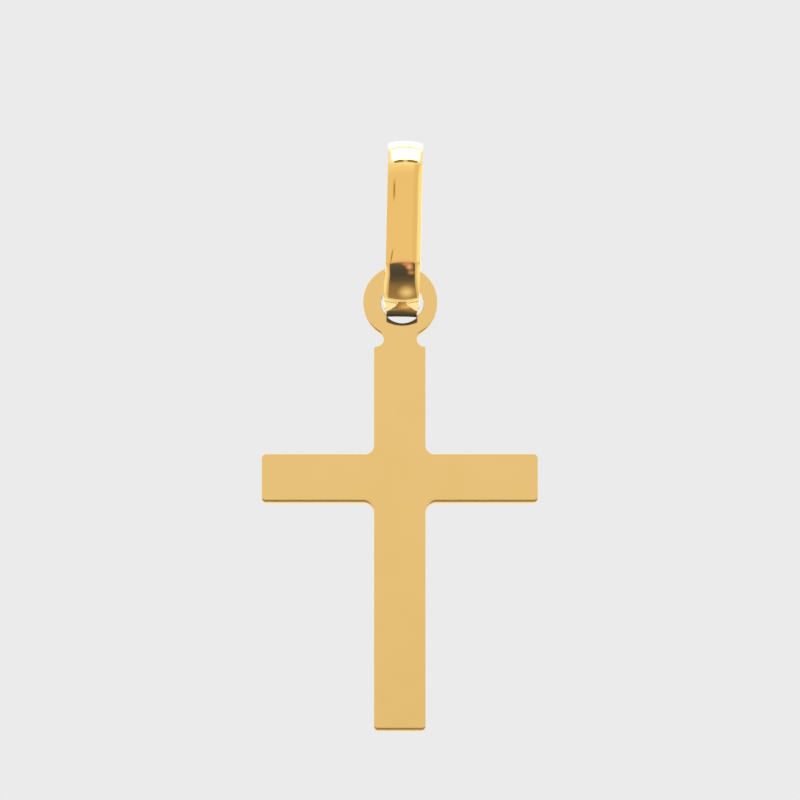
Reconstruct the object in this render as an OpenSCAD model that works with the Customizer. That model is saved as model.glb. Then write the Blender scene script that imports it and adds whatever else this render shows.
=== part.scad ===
// Cross pendant: a flat cut-out cross with an eyelet, hanging in a long closed bail.
// Millimetres, +Z up, +X to the right as the front is seen, and the front faces -Y.
// The origin is the seat of the chain: the middle of the bail's inner crown.

/* [Cross] */
// Span across both side arms
arm_span = 12; // [8:0.5:24]
// Height of the side arms
arm_h = 2.12; // [1.4:0.02:3]
// Width of the upright
upright_w = 2.24; // [2.1:0.02:3]
// Length of the upright above the side arms, up to the shoulders
upper_limb = 4.75; // [2:0.05:9]
// Length of the upright below the side arms
lower_limb = 10.02; // [5:0.02:18]
// Thickness of the plate
plate_t = 0.65; // [0.5:0.05:1]
// Radius of the corners at the ends of the arms and at the foot
tip_r = 0.2; // [0.05:0.01:0.5]
// Radius of the fillets between the arms' top edges and the upright
crotch_r = 0.38; // [0.1:0.01:0.8]
// Radius of the fillets between the arms' undersides and the upright
low_crotch_r = 0.45; // [0.1:0.01:0.8]
// Radius of the two shoulder corners
shoulder_r = 0.04; // [0.02:0.01:0.15]

/* [Eyelet] */
// Metal between the eyelet's hole and the ring's outer edge, on average
eye_wall = 0.69; // [0.5:0.01:1]
// How far the hole sits to the right of the ring's centre
hole_shift = 0.09; // [-0.15:0.01:0.15]
// How far the ring and its neck sit to the right of the upright's middle
eye_shift = 0.022; // [-0.06:0.002:0.06]
// Width of the neck between its two notches
neck_w = 1.44; // [1.2:0.02:1.6]
// Radius of the notch on each side of the neck
notch_r = 0.33; // [0.2:0.01:0.4]

/* [Bail] */
// Height of the loop, outside
bail_h = 7.74; // [6:0.02:12]
// Depth of the loop from front to back, outside
bail_d = 3.96; // [3.6:0.02:5]
// Width of the strip on the legs and the upper bend
strip_w = 1.48; // [1.3:0.02:1.6]
// Width of the strip at its foot, the lowest point of the lower bend
strip_foot_w = 1.32; // [1:0.02:1.36]
// Thickness of the strip on the legs and the upper bend
strip_t = 0.55; // [0.4:0.01:0.7]
// Thickness of the strip at its foot
strip_foot_t = 0.9; // [0.7:0.01:1.1]
// Radius of the dome across the strip's outer face
crown_r = 2.6; // [2:0.1:8]
// Radius of the strip's outer edges
strip_edge_r = 0.14; // [0.05:0.01:0.25]
// Height over which the strip narrows towards its foot
taper_h = 0.5; // [0.3:0.05:1.8]
// Sideways lean of the bail, in degrees
bail_lean = 1.2; // [0:0.1:2]

/* [Fit] */
// Play between the eyelet's hole and the foot's lower corners, taken as if they were sharp
eye_play = 0.05; // [0.03:0.01:0.3]
// How far the middle of the foot's thickness sits below the middle of the hole
foot_drop = 0.125; // [0:0.005:0.2]

/* [Hidden] */
$fn = 96;
gold = [0.91, 0.76, 0.47];
deep_gold = [0.93, 0.74, 0.42];

// The bail, along its own line, before it leans
bend_r = bail_d / 2;
slot_r = bend_r - strip_t;
upper_bend_z = -slot_r;
foot_z = strip_t - bail_h;
lower_bend_z = foot_z + bend_r;
slot_low_z = foot_z + strip_foot_t + slot_r;

// The eyelet, round the bail's foot
hole_r = norm([strip_foot_w / 2, strip_foot_t / 2 + foot_drop]) + eye_play;
hole_line_z = foot_z + strip_foot_t / 2 + foot_drop;
hole_x = hole_line_z * sin(bail_lean);
hole_z = hole_line_z * cos(bail_lean);
eye_r = hole_r + eye_wall;
notch_x = neck_w / 2 + notch_r;
eye_rise = notch_r + sqrt(pow(eye_r + notch_r, 2) - pow(notch_x, 2));

// The cross, below the eyelet
cross_x = hole_x - hole_shift - eye_shift;
shoulder_z = hole_z - eye_rise;
notch_z = shoulder_z + notch_r;
arm_top_z = shoulder_z - upper_limb;
arm_low_z = arm_top_z - arm_h;
arm_mid_z = (arm_top_z + arm_low_z) / 2;
cross_foot_z = arm_low_z - lower_limb;

// A rectangle with round corners, from its lower left to its upper right corner
module round_rect(low, high, r) {
    size = high - low;
    translate(low + [r, 0])
        square([size[0] - 2 * r, size[1]]);
    translate(low + [0, r])
        square([size[0], size[1] - 2 * r]);
    for (x = [low[0] + r, high[0] - r], z = [low[1] + r, high[1] - r])
        translate([x, z])
            circle(r = r);
}

// The metal in an inner corner at [0, 0] between a wall along +Y and a wall along +X
module fillet(r) {
    difference() {
        translate([-r / 2, -r / 2])
            square(1.5 * r);
        translate([r, r])
            circle(r = r);
    }
}

// The Latin cross up to its shoulders, about X = 0
module cross_outline() {
    half_w = upright_w / 2;
    round_rect([-half_w, cross_foot_z], [half_w, arm_mid_z], tip_r);
    round_rect([-half_w, arm_mid_z - tip_r], [half_w, shoulder_z], shoulder_r);
    round_rect([-arm_span / 2, arm_low_z], [arm_span / 2, arm_top_z], tip_r);
    for (side = [0, 1])
        mirror([side, 0]) {
            translate([half_w, arm_top_z])
                fillet(crotch_r);
            translate([half_w, arm_low_z])
                mirror([0, 1])
                    fillet(low_crotch_r);
        }
}

// The ring and its neck, without the hole and the notches, about the neck's middle
module eyelet_outline() {
    translate([0, hole_z])
        circle(r = eye_r);
    polygon([
        [0, hole_z],
        [-notch_x, notch_z],
        [-notch_x, shoulder_z - notch_r],
        [notch_x, shoulder_z - notch_r],
        [notch_x, notch_z]
    ]);
}

// The two notches beside the neck and the eyelet's hole, about the neck's middle
module eyelet_cuts() {
    for (side = [-1, 1])
        translate([side * notch_x, notch_z])
            circle(r = notch_r);
    translate([hole_shift, hole_z])
        circle(r = hole_r);
}

module cross() {
    color(gold)
        translate([cross_x, plate_t / 2, 0])
            rotate([90, 0, 0])
                linear_extrude(height = plate_t)
                    difference() {
                        union() {
                            cross_outline();
                            translate([eye_shift, 0])
                                eyelet_outline();
                        }
                        translate([eye_shift, 0])
                            eyelet_cuts();
                    }
}

// Half of the strip's full section: X runs outward from the loop's middle, Y across the strip.
// The outer face is one arc, and it runs into the round edges without a corner.
module domed_section() {
    crown_x = bend_r - crown_r;
    edge_y = strip_w / 2 - strip_edge_r;
    edge_x = crown_x + sqrt(pow(crown_r - strip_edge_r, 2) - pow(edge_y, 2));
    reach = crown_r / (crown_r - strip_edge_r);
    rim_x = crown_x + (edge_x - crown_x) * reach;
    rim_y = edge_y * reach;
    translate([0, -strip_w / 2])
        square([edge_x, strip_w]);
    for (side = [-1, 1])
        translate([edge_x, side * edge_y])
            circle(r = strip_edge_r);
    intersection() {
        translate([crown_x, 0])
            circle(r = crown_r);
        polygon([
            [0, -edge_y / 2],
            [edge_x, -edge_y],
            [rim_x, -rim_y],
            [bend_r + strip_t, -rim_y],
            [bend_r + strip_t, rim_y],
            [rim_x, rim_y],
            [edge_x, edge_y],
            [0, edge_y / 2]
        ]);
    }
}

// The upper half turn of the loop, filled, about the X axis
module half_turn() {
    rotate([90, 0, 90])
        rotate_extrude(angle = 180)
            domed_section();
}

// The loop's outer form, filled
module bail_form() {
    translate([0, 0, upper_bend_z])
        half_turn();
    translate([0, 0, lower_bend_z])
        mirror([0, 0, 1])
            half_turn();
    translate([0, 0, lower_bend_z])
        linear_extrude(height = upper_bend_z - lower_bend_z)
            for (turn = [-90, 90])
                rotate(turn)
                    domed_section();
}

// The long opening, right through along X
module slot() {
    rotate([90, 0, 90])
        translate([0, 0, -strip_w])
            linear_extrude(height = 2 * strip_w) {
                for (z = [slot_low_z, upper_bend_z])
                    translate([0, z])
                        circle(r = slot_r);
                translate([-slot_r, slot_low_z])
                    square([2 * slot_r, upper_bend_z - slot_low_z]);
            }
}

// What is taken off each side of the strip towards its foot
module foot_taper() {
    for (side = [0, 1])
        mirror([side, 0, 0])
            translate([0, bail_d, 0])
                rotate([90, 0, 0])
                    linear_extrude(height = 2 * bail_d)
                        polygon([
                            [strip_foot_w / 2, foot_z],
                            [strip_w / 2, foot_z + taper_h],
                            [strip_w, foot_z + taper_h],
                            [strip_w, foot_z - taper_h],
                            [strip_foot_w / 2, foot_z - taper_h]
                        ]);
}

module bail() {
    color(deep_gold)
        rotate([0, bail_lean, 0])
            difference() {
                bail_form();
                slot();
                foot_taper();
            }
}

cross();
bail();
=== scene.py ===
"""Cross pendant of polished yellow gold: a flat cut-out cross that hangs in a long closed bail.

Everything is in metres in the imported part's own frame: the origin is the seat of the chain under
the bail's upper bend, +Z is up and the front faces -Y. Sizes are written in millimetres.
"""

import logging
import math
from dataclasses import dataclass
from enum import Enum
from functools import reduce
from typing import Callable, Iterable, Sequence

import bmesh
import bpy
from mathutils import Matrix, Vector

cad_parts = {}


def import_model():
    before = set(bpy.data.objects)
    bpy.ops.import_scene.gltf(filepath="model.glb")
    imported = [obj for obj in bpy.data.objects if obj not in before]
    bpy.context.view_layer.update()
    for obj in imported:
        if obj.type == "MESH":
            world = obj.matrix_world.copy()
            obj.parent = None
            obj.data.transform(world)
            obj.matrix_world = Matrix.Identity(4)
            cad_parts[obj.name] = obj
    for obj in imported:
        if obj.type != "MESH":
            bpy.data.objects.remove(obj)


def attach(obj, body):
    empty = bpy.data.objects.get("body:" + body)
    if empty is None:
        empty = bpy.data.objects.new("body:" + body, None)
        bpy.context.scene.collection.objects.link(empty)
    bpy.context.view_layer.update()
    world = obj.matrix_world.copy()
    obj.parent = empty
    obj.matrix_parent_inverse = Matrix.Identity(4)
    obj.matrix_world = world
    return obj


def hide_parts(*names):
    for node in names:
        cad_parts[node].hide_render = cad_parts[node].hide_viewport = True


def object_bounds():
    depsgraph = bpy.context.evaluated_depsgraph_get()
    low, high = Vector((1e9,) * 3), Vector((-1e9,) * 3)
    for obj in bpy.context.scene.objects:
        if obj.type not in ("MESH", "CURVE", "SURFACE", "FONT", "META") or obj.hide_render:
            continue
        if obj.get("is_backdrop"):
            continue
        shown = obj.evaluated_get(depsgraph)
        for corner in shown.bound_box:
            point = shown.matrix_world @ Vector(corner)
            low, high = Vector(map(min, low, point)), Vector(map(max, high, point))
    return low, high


LOG = logging.getLogger("cross_pendant")

# A millimetre, and the distance within which vertices are merged, both in metres
MM = 0.001
MERGE = 0.0005 * MM

# How close a vertex lies to the place or the turn that it is picked by, in millimetres or degrees
NEAR = 0.002

# The profile of a bevel that makes part of a circle
ROUND = 0.5

# How nearly square to the front a face stands that counts as flat, as the Y part of its normal
SQUARE = 0.99

Point = tuple[float, float, float]
Colour = tuple[float, float, float]
Socket = bpy.types.NodeSocket

# Two numbers that go together, such as the start and the end of a fade
Pair = tuple[float, float]

# Where a mask rises from 0 to 1, and where it falls back
Band = tuple[Pair, Pair]


class Part(Enum):
    """The kinds of mesh element that an operator can work on."""

    VERTEX = "VERT"
    EDGE = "EDGE"
    FACE = "FACE"


class Bench:
    """The few hand tools that both pieces are made with."""

    @staticmethod
    def clear() -> None:
        """Leaves edit mode and deselects every object."""
        if bpy.context.object and bpy.context.object.mode != "OBJECT":
            bpy.ops.object.mode_set(mode="OBJECT")
        bpy.ops.object.select_all(action="DESELECT")

    @staticmethod
    def take(piece: bpy.types.Object) -> None:
        """Selects one object alone and makes it active.

        Args:
            piece: The object.
        """
        Bench.clear()
        piece.select_set(True)
        bpy.context.view_layer.objects.active = piece

    @staticmethod
    def millimetres(place: Vector) -> Point:
        """Turns a place from metres into millimetres."""
        return tuple(value / MM for value in place)

    @staticmethod
    def metres(place: Point) -> Point:
        """Turns a place or a step from millimetres into metres."""
        return tuple(value * MM for value in place)

    @staticmethod
    def start_vertex(name: str, place: Point) -> bpy.types.Object:
        """Adds a plane and merges it to the one vertex that an outline grows from.

        Args:
            name: The new object's name.
            place: Where the vertex is, in millimetres.

        Returns:
            The new object, in edit mode with its vertex selected.
        """
        Bench.clear()
        bpy.ops.mesh.primitive_plane_add(size=MM, location=Bench.metres(place))
        piece = bpy.context.object
        piece.name = name
        piece.data.name = name
        bpy.ops.object.mode_set(mode="EDIT")
        bpy.ops.mesh.select_mode(type=Part.VERTEX.value)
        bpy.ops.mesh.select_all(action="SELECT")
        bpy.ops.mesh.merge(type="CENTER")
        return piece

    @staticmethod
    def pick(piece: bpy.types.Object, part: Part, test: Callable[[object], bool]) -> None:
        """Selects, in edit mode, only the elements that pass a test.

        Args:
            piece: The object in edit mode.
            part: Which kind of element is tested.
            test: Takes a bmesh element and says whether it is wanted.
        """
        bpy.ops.mesh.select_mode(type=part.value)
        bpy.ops.mesh.select_all(action="DESELECT")
        mesh = bmesh.from_edit_mesh(piece.data)
        mesh.normal_update()
        lists = {Part.VERTEX: mesh.verts, Part.EDGE: mesh.edges, Part.FACE: mesh.faces}
        for element in lists[part]:
            if test(element):
                element.select_set(True)
        mesh.select_flush_mode()
        bmesh.update_edit_mesh(piece.data)

    @staticmethod
    def reshape(piece: bpy.types.Object, place: Callable[[Point], Point]) -> None:
        """Moves every vertex of an object in edit mode.

        Args:
            piece: The object.
            place: Takes a vertex's place and gives its new one, both in millimetres.
        """
        mesh = bmesh.from_edit_mesh(piece.data)
        for vertex in mesh.verts:
            vertex.co = Bench.metres(place(Bench.millimetres(vertex.co)))
        bmesh.update_edit_mesh(piece.data)

    @staticmethod
    def draw_line(step: Point) -> None:
        """Extrudes the selected vertex or loop by a step, in millimetres."""
        bpy.ops.mesh.extrude_region_move(TRANSFORM_OT_translate={"value": Bench.metres(step)})

    @staticmethod
    def draw_arc(centre: Point, axis: Point, degrees: float, steps: int) -> None:
        """Spins the selected vertex or loop about an axis through a centre, by the right-hand rule."""
        # The spin operator itself turns the other way
        turn, middle = -math.radians(degrees), Bench.metres(centre)
        bpy.ops.mesh.spin(steps=steps, angle=turn, center=middle, axis=axis)

    @staticmethod
    def round_corners(radius: float, steps: int) -> None:
        """Rounds an outline's selected corners."""
        bpy.ops.mesh.bevel(offset=radius * MM, segments=steps, affect="VERTICES", profile=ROUND)

    @staticmethod
    def step(value: float, start: float, end: float) -> float:
        """Rises smoothly from 0 at start to 1 at end."""
        share = min(1.0, max(0.0, (value - start) / (end - start)))
        return share * share * (3.0 - 2.0 * share)

    @staticmethod
    def merge_doubles() -> None:
        """Selects the whole mesh and merges its doubles."""
        bpy.ops.mesh.select_all(action="SELECT")
        bpy.ops.mesh.remove_doubles(threshold=MERGE)

    @staticmethod
    def merge_and_face_out() -> None:
        """Merges doubles and turns every face outwards."""
        Bench.merge_doubles()
        bpy.ops.mesh.normals_make_consistent(inside=False)

    @staticmethod
    def modify(piece: bpy.types.Object, kind: str, **values: object) -> None:
        """Adds one modifier, sets it and applies it.

        Args:
            piece: The object that gets it.
            kind: The modifier's type.
            **values: The modifier's settings.
        """
        Bench.take(piece)
        modifier = piece.modifiers.new(kind.lower(), kind)
        for key, value in values.items():
            setattr(modifier, key, value)
        bpy.ops.object.modifier_apply(modifier=modifier.name)

    @staticmethod
    def cut_away(piece: bpy.types.Object, cutter: bpy.types.Object) -> None:
        """Cuts one object out of a piece, and removes the cutter."""
        Bench.modify(piece, "BOOLEAN", operation="DIFFERENCE", solver="EXACT", object=cutter)
        bpy.data.objects.remove(cutter, do_unlink=True)

    @staticmethod
    def finish(piece: bpy.types.Object, smooth_below: float) -> None:
        """Brings a piece's object to the origin, smooths it and weights its normals.

        Args:
            piece: The finished mesh.
            smooth_below: Edges flatter than this many degrees are shaded smooth.
        """
        Bench.take(piece)
        bpy.ops.object.transform_apply(location=True, rotation=True, scale=True)
        bpy.ops.object.shade_smooth_by_angle(angle=math.radians(smooth_below))
        Bench.modify(piece, "WEIGHTED_NORMAL", mode="FACE_AREA", weight=100, keep_sharp=True)
        Bench.clear()


class ShaderBuilder:
    """Adds and links nodes in one node tree."""

    def __init__(self, tree: bpy.types.NodeTree) -> None:
        """Keeps the tree that nodes are added to."""
        self.tree = tree

    def add(self, kind: str, **values: object) -> bpy.types.Node:
        """Adds one node.

        Args:
            kind: The node's type.
            **values: Properties of the node that are set at once.

        Returns:
            The new node.
        """
        node = self.tree.nodes.new(kind)
        for key, value in values.items():
            setattr(node, key, value)
        return node

    def join(self, source: Socket, target: Socket) -> None:
        """Links an output to an input."""
        self.tree.links.new(source, target)

    def feed(self, socket: Socket, value: object) -> None:
        """Gives an input a link or a plain value, whichever the value is.

        Args:
            socket: The input.
            value: An output's socket, or a number or a colour.
        """
        if isinstance(value, bpy.types.NodeSocket):
            self.join(value, socket)
        else:
            socket.default_value = value

    def math(self, operation: str, *inputs: object) -> Socket:
        """Adds a Math node.

        Args:
            operation: The operation's name.
            *inputs: Numbers or sockets, in order.

        Returns:
            The result's socket.
        """
        node = self.add("ShaderNodeMath", operation=operation)
        for socket, value in zip(node.inputs, inputs):
            self.feed(socket, value)
        return node.outputs[0]

    def times(self, *values: object) -> Socket:
        """Multiplies two or more numbers or sockets."""
        return reduce(lambda first, second: self.math("MULTIPLY", first, second), values)

    def most(self, *values: object) -> Socket:
        """Gives the greatest of two or more numbers or sockets."""
        return reduce(lambda first, second: self.math("MAXIMUM", first, second), values)

    def minus(self, first: object, second: object) -> Socket:
        """Takes the second number or socket from the first."""
        return self.math("SUBTRACT", first, second)

    def apart(self, first: object, second: object) -> Socket:
        """Gives how far apart two numbers or sockets are."""
        return self.math("ABSOLUTE", self.minus(first, second))

    def line(self, value: Socket, slope: object, offset: object) -> Socket:
        """Multiplies a value by a slope and adds an offset."""
        return self.math("MULTIPLY_ADD", value, slope, offset)

    def length(self, *sides: Socket) -> Socket:
        """Gives the length of the diagonal over two sides at right angles."""
        return self.math("SQRT", self.math("ADD", *(self.times(side, side) for side in sides)))

    def fade(self, value: object, start: float, end: float, low: float = 0.0, high: float = 1.0) -> Socket:
        """Maps a value smoothly from one range to another, held at both ends.

        Args:
            value: The value's socket.
            start: Where the result is low.
            end: Where the result is high.
            low: The result at start.
            high: The result at end.

        Returns:
            The result's socket.
        """
        node = self.add("ShaderNodeMapRange", interpolation_type="SMOOTHSTEP", clamp=True)
        names = ("Value", "From Min", "From Max", "To Min", "To Max")
        for name, given in zip(names, (value, start, end, low, high)):
            self.feed(node.inputs[name], given)
        return node.outputs["Result"]

    def fall(self, value: object, start: float, end: float) -> Socket:
        """Falls smoothly from 1 at start to 0 at end."""
        return self.fade(value, start, end, 1.0, 0.0)

    def band(self, value: object, edges: Band) -> Socket:
        """Makes a mask that is 1 over a band of values, with a soft edge on either side."""
        return self.times(self.fade(value, *edges[0]), self.fall(value, *edges[1]))

    def split(self, vector: Socket) -> tuple[Socket, ...]:
        """Takes a vector apart.

        Args:
            vector: The vector's socket.

        Returns:
            Its X, Y and Z.
        """
        apart = self.add("ShaderNodeSeparateXYZ")
        self.join(vector, apart.inputs["Vector"])
        return tuple(apart.outputs)

    def coordinates(self, name: str) -> Socket:
        """Adds a Texture Coordinate node and gives one of its outputs."""
        return self.add("ShaderNodeTexCoord").outputs[name]

    def noise(self, vector: Socket, scale: object, detail: float = 2.0) -> Socket:
        """Adds a noise texture.

        Args:
            vector: Where it is read.
            scale: Its scale, a number or a socket.
            detail: How many finer layers it has.

        Returns:
            The noise's socket.
        """
        node = self.add("ShaderNodeTexNoise", noise_dimensions="3D")
        for name, given in (("Vector", vector), ("Scale", scale), ("Detail", detail)):
            self.feed(node.inputs[name], given)
        return node.outputs["Fac"]

    def mix(self, share: object, first: object, second: object) -> Socket:
        """Mixes two colours.

        Args:
            share: How much of the second colour shows, from 0 to 1.
            first: A colour or a socket.
            second: A colour or a socket.

        Returns:
            The mixed colour's socket.
        """
        node = self.add("ShaderNodeMix", data_type="RGBA", clamp_result=False)
        self.feed(node.inputs["Factor"], share)
        colours = {socket.name: socket for socket in node.inputs if socket.type == "RGBA"}
        for name, given in (("A", first), ("B", second)):
            self.feed(colours[name], (*given, 1.0) if isinstance(given, tuple) else given)
        return next(socket for socket in node.outputs if socket.type == "RGBA")

    def ramp(self, share: object, stops: Sequence[tuple[float, Colour]]) -> Socket:
        """Adds a colour ramp.

        Args:
            share: The position's socket, from 0 to 1.
            stops: Positions and colours, in order.

        Returns:
            The colour's socket.
        """
        node = self.add("ShaderNodeValToRGB")
        elements = node.color_ramp.elements
        while len(elements) > 1:
            elements.remove(elements[-1])
        elements[0].position, elements[0].color = stops[0][0], (*stops[0][1], 1.0)
        for position, colour in stops[1:]:
            elements.new(position).color = (*colour, 1.0)
        self.feed(node.inputs["Fac"], share)
        return node.outputs["Color"]


class PolishMarks:
    """A node group of what years of wear leave on polished gold: a faint cloudiness and hair scratches."""

    NAME = "Polish marks"
    INPUTS = {"Cloud Size": 1.2, "Hair Spacing": 0.25, "Hair Length": 6.0, "Wear": 0.5}
    OUTPUTS = ("Cloud", "Hair", "Height")
    CLOUD_DETAIL = 3.0
    HAIR_TURNS = (18.0, 74.0, -41.0)
    HAIR_WIDTH = 0.012
    PATCHES = (0.52, 0.7)
    PATCH_SCALE = 0.35 / MM

    @classmethod
    def tree(cls) -> bpy.types.NodeTree:
        """Builds the group once.

        Returns:
            The group's node tree.
        """
        if cls.NAME in bpy.data.node_groups:
            return bpy.data.node_groups[cls.NAME]
        tree = bpy.data.node_groups.new(cls.NAME, "ShaderNodeTree")
        for name, default in cls.INPUTS.items():
            socket = tree.interface.new_socket(name, in_out="INPUT", socket_type="NodeSocketFloat")
            socket.default_value = default
        for name in cls.OUTPUTS:
            tree.interface.new_socket(name, in_out="OUTPUT", socket_type="NodeSocketFloat")
        make = ShaderBuilder(tree)
        given = make.add("NodeGroupInput")
        result = make.add("NodeGroupOutput")
        place = make.coordinates("Object")
        cloud_scale = make.math("DIVIDE", 1.0 / MM, given.outputs["Cloud Size"])
        cloud = make.noise(place, cloud_scale, cls.CLOUD_DETAIL)
        hairs = (cls._hair(make, given, place, turn) for turn in cls.HAIR_TURNS)
        worn = make.times(make.most(*hairs), given.outputs["Wear"])
        for name, source in zip(cls.OUTPUTS, (cloud, worn, cloud)):
            make.join(source, result.inputs[name])
        return tree

    @classmethod
    def _hair(cls, make: ShaderBuilder, given: bpy.types.Node, place: Socket, turn: float) -> Socket:
        """Draws fine scratches that lie roughly one way.

        Args:
            make: The group's builder.
            given: The group's input node.
            place: Object coordinates.
            turn: The way they lie, in degrees about Y.

        Returns:
            A mask that is 1 in a scratch.
        """
        turned = make.add("ShaderNodeMapping")
        turned.inputs["Rotation"].default_value = (0.0, math.radians(turn), math.radians(turn / 3))
        make.join(place, turned.inputs["Vector"])
        stretch = make.add("ShaderNodeCombineXYZ")
        across, along = (
            make.math("DIVIDE", 1.0 / MM, given.outputs[name]) for name in ("Hair Spacing", "Hair Length")
        )
        for socket, value in zip(stretch.inputs, (across, across, along)):
            make.join(value, socket)
        scaled = make.add("ShaderNodeVectorMath", operation="MULTIPLY")
        make.join(turned.outputs["Vector"], scaled.inputs[0])
        make.join(stretch.outputs["Vector"], scaled.inputs[1])
        wave = make.noise(scaled.outputs["Vector"], 1.0)
        hair = make.fall(make.apart(wave, 0.5), 0.0, cls.HAIR_WIDTH)
        patches = make.noise(turned.outputs["Vector"], cls.PATCH_SCALE)
        return make.times(hair, make.fade(patches, *cls.PATCHES))


@dataclass(frozen=True)
class Overlay:
    """A colour and a roughness laid over the gold in places, mostly as painted light or shade.

    Its edge is the two values between which it fades, of whichever measure it is laid by.
    """

    colour: Colour
    roughness: float
    edge: Pair


class GoldShader(ShaderBuilder):
    """Builds the nodes of one gold material round its shader."""

    def __init__(self, material: bpy.types.Material) -> None:
        """Keeps the material's nodes and its shader's inputs."""
        super().__init__(material.node_tree)
        self.inputs = material.node_tree.nodes["Principled BSDF"].inputs

    def place(self) -> tuple[Socket, ...]:
        """Gives the point's X, Y and Z on the piece, in millimetres."""
        return tuple(self.times(socket, 1.0 / MM) for socket in self.split(self.coordinates("Object")))

    def lay(self, mask: Socket, overlay: Overlay, colour: Socket | None = None) -> None:
        """Lays an overlay of colour and roughness over the gold where a mask is 1.

        Args:
            mask: The mask's socket.
            overlay: What is laid.
            colour: A socket that gives the overlay's colour, where it isn't the same all over.
        """
        under = self.inputs["Base Color"].links[0].from_socket
        over = overlay.colour if colour is None else colour
        self.join(self.mix(mask, under, over), self.inputs["Base Color"])
        smooth = self.inputs["Roughness"].links[0].from_socket
        more = self.times(self.minus(overlay.roughness, smooth), mask)
        self.join(self.math("ADD", smooth, more), self.inputs["Roughness"])

    def dull(self, mask: Socket) -> None:
        """Takes the metal's shine away where a mask is 1."""
        self.join(self.minus(1.0, mask), self.inputs["Metallic"])


@dataclass(frozen=True)
class Streak:
    """A fine painted dark streak down the front leg: its middle, how it slants and its half sizes, in
    millimetres.
    """

    place: Pair
    slope: float
    half_length: float
    half_width: float


@dataclass(frozen=True)
class GoldFinish:
    """One polished gold: its colour, how sharp its reflections are and how worn it is."""

    name: str
    colour: Colour
    worn_colour: Colour
    roughness: float
    cloud_roughness: float
    cloud_size: float
    wave_height: float
    wear: float
    cloud_edges: Pair = (0.35, 0.75)
    hair_roughness: float = 0.12

    def material(self) -> bpy.types.Material:
        """Builds the finish's material.

        Returns:
            The new material.
        """
        material = bpy.data.materials.new(self.name)
        material.use_nodes = True
        make = GoldShader(material)
        make.inputs["Metallic"].default_value = 1.0
        make.inputs["Specular IOR Level"].default_value = 0.0
        marks = make.add("ShaderNodeGroup", node_tree=PolishMarks.tree())
        marks.inputs["Cloud Size"].default_value = self.cloud_size
        marks.inputs["Wear"].default_value = self.wear
        tone = make.fade(marks.outputs["Cloud"], *self.cloud_edges)
        make.join(make.mix(tone, self.colour, self.worn_colour), make.inputs["Base Color"])
        clouded = make.line(tone, self.cloud_roughness, self.roughness)
        scratched = make.line(marks.outputs["Hair"], self.hair_roughness, clouded)
        make.join(scratched, make.inputs["Roughness"])
        bump = make.add("ShaderNodeBump")
        bump.inputs["Strength"].default_value = 1.0
        bump.inputs["Distance"].default_value = self.wave_height * MM
        make.join(marks.outputs["Height"], bump.inputs["Height"])
        make.join(bump.outputs["Normal"], make.inputs["Normal"])
        self.extras(make)
        return material

    def extras(self, make: GoldShader) -> None:
        """Adds what one piece alone has; a plain finish has nothing more."""


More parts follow.
